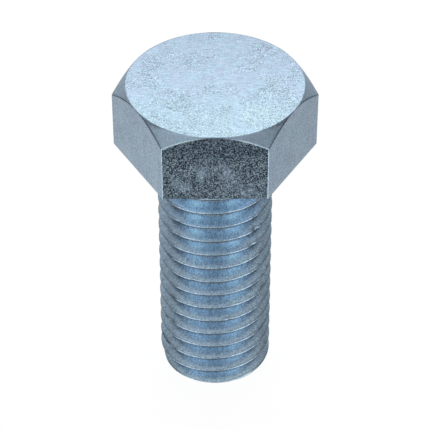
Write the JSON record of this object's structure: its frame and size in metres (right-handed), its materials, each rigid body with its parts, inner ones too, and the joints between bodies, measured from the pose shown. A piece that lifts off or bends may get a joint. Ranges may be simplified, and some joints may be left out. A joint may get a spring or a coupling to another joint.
{
  "type": "hex bolt",
  "caption": "Fully threaded hex head bolt: chamfered hexagonal head with washer face, right-hand coarse thread to the tip, blue-white zinc-plated steel.",
  "frame": {"origin": "centre of the bearing face under the head, on the bolt's axis", "axes": "+Z along the axis towards the top of the head, so the shank points along -Z; two of the six wrench flats face +Y and -Y, and two corners lie on +X and -X"},
  "size_m": [0.022, 0.019, 0.039],
  "materials": {
    "zinc_plated_steel": "satin"
  },
  "bodies": {
    "root": {"hex_bolt": "zinc_plated_steel"}
  },
  "joints": []
}
